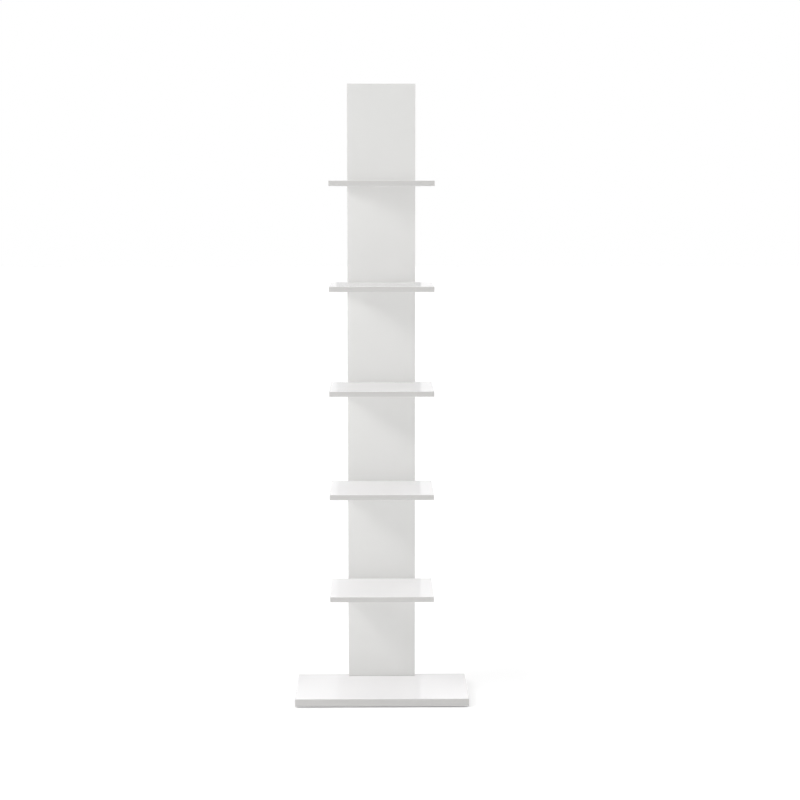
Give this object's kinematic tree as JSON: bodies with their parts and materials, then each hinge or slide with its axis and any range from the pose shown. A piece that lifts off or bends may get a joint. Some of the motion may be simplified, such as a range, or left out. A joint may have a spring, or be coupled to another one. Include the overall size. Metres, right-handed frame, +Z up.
{
  "type": "wall shelf",
  "caption": "Tall narrow white shelf tower: a flat upright board on a wider base plate, with equal square-edged shelves that stand out in front of it and past both of its sides",
  "frame": {"origin": "on the floor, in the middle of the base's footprint", "axes": "+Z up, the front faces -Y, the wall is at +Y, +X to the right seen from the front"},
  "size_m": [0.49, 0.272, 1.748],
  "materials": {
    "white_lacquer": "smooth white lacquer on fibreboard, semi-gloss",
    "zinc_steel": "bright zinc plating",
    "plate_steel": "stamped steel, zinc plated",
    "beech": "bare turned beech",
    "cap_plastic": "moulded white plastic, satin",
    "glide_plastic": "moulded pale grey plastic, matt"
  },
  "bodies": {
    "root": {"base_panel": "white_lacquer", "spine_panel": "white_lacquer", "shelf_1": "white_lacquer", "shelf_2": "white_lacquer", "shelf_3": "white_lacquer", "shelf_4": "white_lacquer", "shelf_5": "white_lacquer", "shelf_1_screws": "zinc_steel", "shelf_2_screws": "zinc_steel", "shelf_3_screws": "zinc_steel", "shelf_4_screws": "zinc_steel", "shelf_5_screws": "zinc_steel", "shelf_1_dowels": "beech", "shelf_2_dowels": "beech", "shelf_3_dowels": "beech", "shelf_4_dowels": "beech", "shelf_5_dowels": "beech", "screw_caps": "cap_plastic", "base_screws": "zinc_steel", "base_dowels": "beech", "wall_plate_left": "plate_steel", "wall_plate_right": "plate_steel", "wall_plate_screws": "zinc_steel", "base_glides": "glide_plastic", "glide_nails": "zinc_steel"}
  },
  "joints": []
}
